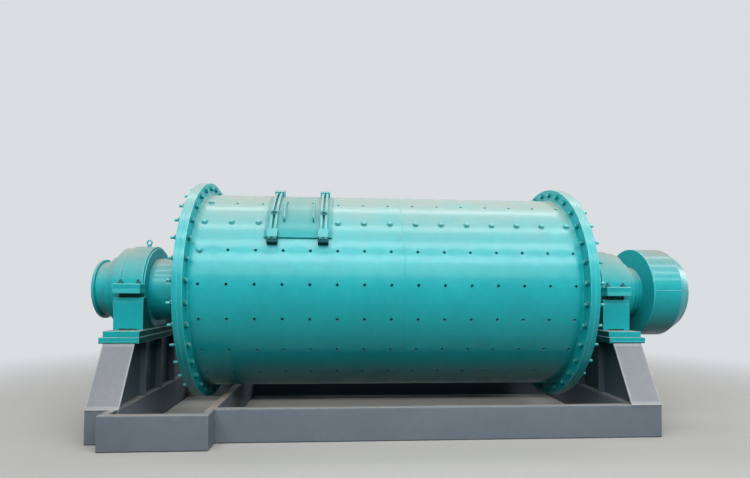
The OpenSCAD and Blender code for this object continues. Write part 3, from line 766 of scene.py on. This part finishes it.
def hex_nut(bm, place, corner_r, height, stud_r, stud_end, washer_r, washer_t):
    """A chamfered nut on its washer, with the bolt's end standing out of it."""
    inner = corner_r * math.cos(math.pi / 6)
    top = height - stud_end
    flat_r = NUT_CHAMFER * inner
    slope = math.tan(math.pi / 6)
    sides = [hex_radius(inner, phi) for phi in PHIS]
    rings = [
        round_ring(washer_r, 0),
        round_ring(washer_r, washer_t * 0.7),
        round_ring(washer_r - washer_t * 0.3, washer_t),
        [(r, washer_t) for r in sides],
        [(r, top - (r - flat_r) * slope) for r in sides],
        round_ring(flat_r, top),
        round_ring(stud_r, top),
        round_ring(stud_r, height - STUD_CHAMFER),
        round_ring(stud_r - STUD_CHAMFER, height),
    ]
    turned_body(bm, place, rings, 6)


def stud(bm, place, r, low, high, pitch):
    """A threaded rod between two heights, all of it in material 1."""
    turns = int((high - low) / pitch)
    rings = []
    for i in range(turns):
        z = low + (high - low) * i / turns
        rings.append(round_ring(r * 0.92, z))
        rings.append(round_ring(r, z + pitch / 2))
    rings.append(round_ring(r * 0.9, high))
    turned_body(bm, place, rings, 0)


def joint_bolts_piece(node, face, side, dice):
    """Nuts of an end joint with the bolts' long ends outside, and nuts with short ends over the shell."""
    bm = bmesh.new()
    for k in range(JOINT_BOLTS):
        angle = JOINT_BOLT_START + 2 * math.pi * k / JOINT_BOLTS
        outer = x_frame(face, JOINT_BOLT_RING, angle, side, dice.uniform(0, NUT_TURN))
        hex_nut(bm, outer, **JOINT_NUT)
        stud(bm, outer, JOINT_BOLT_R, JOINT_NUT["height"] - STUD_ROOT, JOINT_BOLT_END, JOINT_BOLT_PITCH)
        back = face - side * JOINT_PACK
        inner = x_frame(back, JOINT_BOLT_RING, angle, -side, dice.uniform(0, NUT_TURN))
        hex_nut(bm, inner, **INNER_JOINT_NUT)
    # nuts in a darker teal, painted shade
    finishes = [NUT_SHADE_PAINT, EDGES["teal_paint"]]
    obj = add_piece(node + "_chamfered", bm, "mill", finishes, NUT_CREASE)
    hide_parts(node)


def liner_nuts_piece(dice):
    """Nuts of the liner bolts that are already fitted."""
    places = [(i, NUT_ROW) for i in range(COLUMNS) if i not in MANHOLE_COLUMNS]
    places += [(0, NUT_ROW - 1), (0, NUT_ROW + 1)]
    bm = bmesh.new()
    for column, row in places:
        x = FIRST_COLUMN + column * COLUMN_PITCH
        angle = FIRST_ROW + row * ROW_STEP
        seat = drum_frame(x, SHELL_R - LINER_NUT_SINK, angle, dice.uniform(0, NUT_TURN))
        hex_nut(bm, seat, **LINER_NUT)
    finishes = [PAINTS["teal_paint"], EDGES["teal_paint"]]
    obj = add_piece("liner_nuts_chamfered", bm, "mill", finishes, NUT_CREASE)
    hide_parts("liner_nuts")


def clamp_nuts_piece(dice):
    """Nuts and washers that hold the manhole clamps, and those of their feet."""
    bm = bmesh.new()
    for x in (MANHOLE_X - CLAMP_REACH, MANHOLE_X + CLAMP_REACH):
        seat = drum_frame(x, CLAMP_TOP_R, CLAMP_NUT_ANGLE, dice.uniform(0, NUT_TURN))
        hex_nut(bm, seat, **CLAMP_NUT)
        for dx in (-CLAMP_FOOT_NUT_OUT, CLAMP_FOOT_NUT_OUT):
            foot_r = CLAMP_TOP_R - FOOT_NUT_SINK
            seat = drum_frame(x + dx, foot_r, CLAMP_FOOT_NUT_ANGLE, dice.uniform(0, NUT_TURN))
            hex_nut(bm, seat, **CLAMP_FOOT_NUT)
    obj = add_piece("clamp_nuts_chamfered", bm, "mill", [NUT_SHADE_PAINT, NUT_SHADE_PAINT], NUT_CREASE)
    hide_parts("clamp_nuts")


def cap_bolts_piece(node, side, dice):
    """Studs that hold a bearing cap, with nuts in a darker teal that is painted shade."""
    bm = bmesh.new()
    for dx in (-CAP_BOLT_X, CAP_BOLT_X):
        for dy in (-CAP_BOLT_Y, CAP_BOLT_Y):
            x = MIDDLE_X + side * BEARING_X + dx
            foot = Matrix.Translation((x, AXIS_Y + dy, 0))
            seat = Matrix.Translation((x, AXIS_Y + dy, LUG_TOP))
            turn = Matrix.Rotation(dice.uniform(0, NUT_TURN), 4, "Z")
            stud(bm, foot, CAP_BOLT_R, STEP_TOP - STUD_ROOT, LUG_BOTTOM + STUD_ROOT, CAP_BOLT_PITCH)
            hex_nut(bm, seat @ turn, **CAP_NUT)
            stud(bm, foot, CAP_BOLT_TOP_R, LUG_TOP + CAP_BOLT_FROM, LUG_TOP + CAP_BOLT_TO, CAP_BOLT_PITCH)
    obj = add_piece(node + "_threaded", bm, "base", [NUT_SHADE_PAINT, BOLT_DARK], NUT_CREASE)
    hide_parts(node)


def bead(bm, points, u, v, size, dice):
    """A rippled weld in the corner at points, whose toes lie size away along u and v."""
    rows = []
    for k, p in enumerate(points):
        ripple = BEAD_RIPPLE * math.sin(k * BEAD_RIPPLE_TURN)
        own = size * (1 + ripple + dice.uniform(-BEAD_SCATTER, BEAD_SCATTER))
        a, b = u[k], v[k]
        shoulders = (p + own * (0.72 * a + 0.42 * b), p + own * (0.42 * a + 0.72 * b))
        profile = (p, p + own * a, *shoulders, p + own * b)
        rows.append([bm.verts.new(q) for q in profile])
    for low, high in zip(rows, rows[1:]):
        for i in range(len(low)):
            j = (i + 1) % len(low)
            bm.faces.new([low[i], high[i], high[j], low[j]])
    if (points[0] - points[-1]).length > 1e-6:
        bm.faces.new(rows[0])
        bm.faces.new(list(reversed(rows[-1])))


def line_points(start, end, step=BEAD_STEP):
    """Points along a line, with both its ends."""
    start, end = Vector(start), Vector(end)
    count = max(2, int((end - start).length / step))
    return [start.lerp(end, i / count) for i in range(count + 1)]


def straight_bead(bm, start, end, u, v, size, dice):
    """A weld along a straight corner between faces that lie along u and v."""
    points = line_points(start, end)
    along_u = [Vector(u).normalized()] * len(points)
    along_v = [Vector(v).normalized()] * len(points)
    bead(bm, points, along_u, along_v, size, dice)


def shell_seam_piece(dice):
    """The round seam between the two rolled plates of the shell."""
    bm = bmesh.new()
    toe = (SEAM_HALF, SEAM_ROOT)
    shoulder = (0.6 * SEAM_HALF, SEAM_HEIGHT * 2 / 3)
    profile = ((-toe[0], toe[1]), (-shoulder[0], shoulder[1]), (0, SEAM_HEIGHT), shoulder, toe)
    rows = []
    for k in range(SEAM_STEPS):
        angle = 2 * math.pi * k / SEAM_STEPS
        ripple = SEAM_RIPPLE * math.sin(k * SEAM_RIPPLE_TURN)
        swell = 1 + ripple + dice.uniform(-SEAM_SCATTER, SEAM_SCATTER)
        points = [on_drum(SEAM_X + dx * swell, SHELL_R + dr * swell, angle) for dx, dr in profile]
        rows.append([bm.verts.new(p) for p in points])
    for k in range(SEAM_STEPS):
        low, high = rows[k], rows[(k + 1) % SEAM_STEPS]
        for i in range(len(profile)):
            j = (i + 1) % len(profile)
            bm.faces.new([low[i], low[j], high[j], high[i]])
    add_piece("shell_seam_weld", bm, "mill", [PAINTS["teal_paint"]], WELD_CREASE)


def feeder_seam_piece(dice):
    """The seam along the rolled plate of the feeder drum."""
    bm = bmesh.new()
    start = on_drum(FEEDER_FROM, FEEDER_R - FEEDER_SEAM_ROOT, FEEDER_SEAM_ANGLE)
    end = on_drum(FEEDER_TO, FEEDER_R - FEEDER_SEAM_ROOT, FEEDER_SEAM_ANGLE)
    out = (0, -1, 0)
    for spread in (FEEDER_SEAM_SPREAD, -FEEDER_SEAM_SPREAD):
        straight_bead(bm, start, end, (0, FEEDER_SEAM_LEAN, spread), out, FEEDER_SEAM, dice)
    add_piece("feeder_seam_weld", bm, "mill", [EDGES["teal_paint"]], WELD_CREASE)


def stand_welds_piece(side_name, side, dice):
    """Welds of the front and rear legs to the base."""
    bm = bmesh.new()
    x0 = MIDDLE_X + side * BEARING_X - LEG_HALF_WIDTH
    x1 = MIDDLE_X + side * BEARING_X + LEG_HALF_WIDTH
    rise = LEG_HIGH - LEG_LOW
    run = LEG_FOOT_Y - LEG_HEAD_Y
    for face in (-1, 1):
        up_leg = (0, -face * run, rise)
        foot = (AXIS_Y + face * LEG_FOOT_Y, LEG_LOW - LEG_WELD_ROOT)
        straight_bead(bm, (x0, *foot), (x1, *foot), up_leg, (0, face, 0), LEG_WELD, dice)
    add_piece(side_name + "_stand_welds", bm, "base", [EDGES["leg_paint"]], WELD_CREASE)


def make_camera():
    """The camera that was fitted to the photograph."""
    sy, cy = math.sin(CAMERA_YAW), math.cos(CAMERA_YAW)
    sp, cp = math.sin(CAMERA_PITCH), math.cos(CAMERA_PITCH)
    forward = Vector((sy * cp, cy * cp, sp))
    flat_right = Vector((cy, -sy, 0))
    flat_up = flat_right.cross(forward)
    right = math.cos(CAMERA_ROLL) * flat_right + math.sin(CAMERA_ROLL) * flat_up
    up = -math.sin(CAMERA_ROLL) * flat_right + math.cos(CAMERA_ROLL) * flat_up
    data = bpy.data.cameras.new("camera")
    data.sensor_fit = "HORIZONTAL"
    data.sensor_width = SENSOR_MM
    data.lens = FOCAL_PX * SENSOR_MM / IMAGE_W
    data.shift_y = PRINCIPAL_DROP_PX / IMAGE_W
    data.clip_end = CAMERA_REACH
    cam = bpy.data.objects.new("camera", data)
    bpy.context.scene.collection.objects.link(cam)
    turned = Matrix((right, up, -forward)).transposed().to_4x4()
    cam.matrix_world = Matrix.Translation(CAMERA_AT) @ turned
    bpy.context.scene.camera = cam


def area_light(name, at, aim, size_x, size_y, radiance):
    """A soft box whose face has that radiance, out of the camera's sight."""
    data = bpy.data.lights.new(name, "AREA")
    data.shape = "RECTANGLE"
    data.size = size_x
    data.size_y = size_y
    data.energy = 4 * radiance * size_x * size_y
    lamp = bpy.data.objects.new(name, data)
    bpy.context.scene.collection.objects.link(lamp)
    lamp.location = at
    lamp.rotation_mode = "QUATERNION"
    lamp.rotation_quaternion = (Vector(aim) - Vector(at)).to_track_quat("-Z", "Y")
    lamp.visible_camera = False
    return lamp


def seen_factor(tree):
    """1 for rays from the camera, reflections and glass, 0 for the rest."""
    path = tree.nodes.new("ShaderNodeLightPath")
    total = path.outputs["Is Camera Ray"]
    for key in ("Is Glossy Ray", "Is Transmission Ray"):
        node = tree.nodes.new("ShaderNodeMath")
        node.operation = "MAXIMUM"
        tree.links.new(total, node.inputs[0])
        tree.links.new(path.outputs[key], node.inputs[1])
        total = node.outputs["Value"]
    return total


def make_world():
    """A weak even fill, and a pale backdrop for the camera and the reflections."""
    world = bpy.data.worlds.new("world")
    bpy.context.scene.world = world
    world.use_nodes = True
    tree = world.node_tree
    tree.nodes.clear()
    fill = tree.nodes.new("ShaderNodeBackground")
    fill.inputs["Color"].default_value = linear(WORLD_TINT)
    fill.inputs["Strength"].default_value = WORLD_FILL
    seen = tree.nodes.new("ShaderNodeBackground")
    seen.inputs["Color"].default_value = linear(BACKDROP)
    seen.inputs["Strength"].default_value = 1.0
    blend = tree.nodes.new("ShaderNodeMixShader")
    out = tree.nodes.new("ShaderNodeOutputWorld")
    tree.links.new(seen_factor(tree), blend.inputs[0])
    tree.links.new(fill.outputs[0], blend.inputs[1])
    tree.links.new(seen.outputs[0], blend.inputs[2])
    tree.links.new(blend.outputs[0], out.inputs["Surface"])


def floor_material():
    """A pale surface that gives little light back and fades into the backdrop far away."""
    mat = bpy.data.materials.new("floor")
    mat.use_nodes = True
    tree = mat.node_tree
    tree.nodes.clear()
    pale = tree.nodes.new("ShaderNodeBsdfDiffuse")
    pale.inputs["Color"].default_value = linear(FLOOR_SEEN)
    dark = tree.nodes.new("ShaderNodeBsdfDiffuse")
    dark.inputs["Color"].default_value = linear(FLOOR_LIGHTING)
    backdrop = tree.nodes.new("ShaderNodeEmission")
    backdrop.inputs["Color"].default_value = linear(BACKDROP)
    backdrop.inputs["Strength"].default_value = 1.0
    away = tree.nodes.new("ShaderNodeVectorMath")
    away.operation = "LENGTH"
    place = tree.nodes.new("ShaderNodeTexCoord")
    tree.links.new(place.outputs["Object"], away.inputs[0])
    fade = tree.nodes.new("ShaderNodeMapRange")
    fade.interpolation_type = "SMOOTHSTEP"
    fade.inputs["From Min"].default_value = FLOOR_NEAR
    fade.inputs["From Max"].default_value = FLOOR_FAR
    tree.links.new(away.outputs["Value"], fade.inputs["Value"])
    seen = tree.nodes.new("ShaderNodeMixShader")
    tree.links.new(fade.outputs["Result"], seen.inputs[0])
    tree.links.new(pale.outputs[0], seen.inputs[1])
    tree.links.new(backdrop.outputs[0], seen.inputs[2])
    blend = tree.nodes.new("ShaderNodeMixShader")
    out = tree.nodes.new("ShaderNodeOutputMaterial")
    tree.links.new(seen_factor(tree), blend.inputs[0])
    tree.links.new(dark.outputs[0], blend.inputs[1])
    tree.links.new(seen.outputs[0], blend.inputs[2])
    tree.links.new(blend.outputs[0], out.inputs["Surface"])
    return mat


def make_floor():
    """A plain floor under the mill, which isn't part of it."""
    bm = bmesh.new()
    bmesh.ops.create_grid(bm, x_segments=4, y_segments=4, size=FLOOR_HALF)
    mesh = bpy.data.meshes.new("floor")
    bm.to_mesh(mesh)
    bm.free()
    mesh.materials.append(floor_material())
    floor = bpy.data.objects.new("floor", mesh)
    bpy.context.scene.collection.objects.link(floor)


def round_axis(x, away, degrees, way=-1):
    """A place at a distance from the mill's axis, at an elevation in front of it or behind it."""
    elevation = math.radians(degrees)
    return (x, AXIS_Y + way * away * math.cos(elevation), AXIS_Z + away * math.sin(elevation))


def window(name, at, aim, width, radiance):
    """A square lamp that lights one end of the mill."""
    return area_light(name, at, aim, width, width, radiance)


def make_lights():
    """The strips over the mill, the fills in front and behind, and the windows at its ends."""
    strip_x = MIDDLE_X + STRIP_SHIFT
    for name, (degrees, radiance) in STRIPS.items():
        at = round_axis(strip_x, STRIP_AWAY, degrees)
        area_light(name, at, (strip_x, AXIS_Y, AXIS_Z), STRIP_LENGTH, STRIP_WIDTH, radiance)
    for name, (way, degrees, radiance) in FILLS.items():
        at = round_axis(MIDDLE_X, FILL_AWAY, degrees, way)
        lamp = area_light(name, at, (MIDDLE_X, AXIS_Y, AXIS_Z), FILL_LENGTH, FILL_WIDTH, radiance)
        lamp.visible_glossy = way < 0
    window("feed_window", *FEED_WINDOW)
    window("discharge_window", *DISCHARGE_WINDOW).visible_glossy = False


def dress_nodes():
    """Paints the CAD nodes, and rounds the edges of those that aren't made anew."""
    slots = {s["node"]: s["material_slot"] for s in frame["record"]["subparts"]}
    bodies = {n: b for b, names in frame["record"]["behaviour"]["bodies"].items() for n in names}
    for node, obj in frame["nodes"].items():
        slot = slots[node]
        obj.data.materials.clear()
        obj.data.materials.append(PAINTS[slot])
        if node in MADE_ANEW:
            continue
        width = next((w for key, w in BEVELS.items() if key in node), 0.0)
        piece = rounded(node, width, slot, bodies[node])
        if node in OWN_PAINT:
            piece.data.materials[0] = OWN_PAINT[node]


def darken_clamp_feet():
    """Gives the hooks of the manhole clamps, below the cover's edge, a dark paint: painted shade for the
    shadow under the clamps' feet, with dirt.
    """
    mesh = bpy.data.objects["manhole_clamps_rounded"].data
    mesh.materials.append(FOOT_SHADE_AND_DIRT_PAINT)
    for face in mesh.polygons:
        if face.center.z < CLAMP_FOOT_Z:
            face.material_index = len(mesh.materials) - 1


def shade_drum_sides():
    """Gives the bearings' flat faces towards the drum a darker teal: painted shade, for they lie in the
    drum's shadow and face away from the light.
    """
    for side_name, way in (("left", 1), ("right", -1)):
        for node in ("lower_housing", "upper_sole", "lower_sole"):
            mesh = bpy.data.objects[f"{side_name}_{node}_rounded"].data
            mesh.materials.append(DRUM_SIDE_SHADE_PAINT)
            for face in mesh.polygons:
                if face.normal.x * way > FACING:
                    face.material_index = len(mesh.materials) - 1


def build():
    """Dresses the nodes and makes the new pieces, which draw from one seeded source in this order."""
    dice = random.Random(SEED)
    dress_nodes()
    darken_clamp_feet()
    shade_drum_sides()
    shell_piece()
    cover_piece()
    joint_bolts_piece("left_joint_bolts", LEFT_FACE, -1, dice)
    joint_bolts_piece("right_joint_bolts", RIGHT_FACE, 1, dice)
    liner_nuts_piece(dice)
    clamp_nuts_piece(dice)
    cap_bolts_piece("left_cap_bolts", -1, dice)
    cap_bolts_piece("right_cap_bolts", 1, dice)
    shell_seam_piece(dice)
    feeder_seam_piece(dice)
    stand_welds_piece("left", -1, dice)
    stand_welds_piece("right", 1, dice)


make_camera()
make_world()
make_floor()
make_lights()
build()

bpy.context.scene.view_settings.view_transform = "Standard"
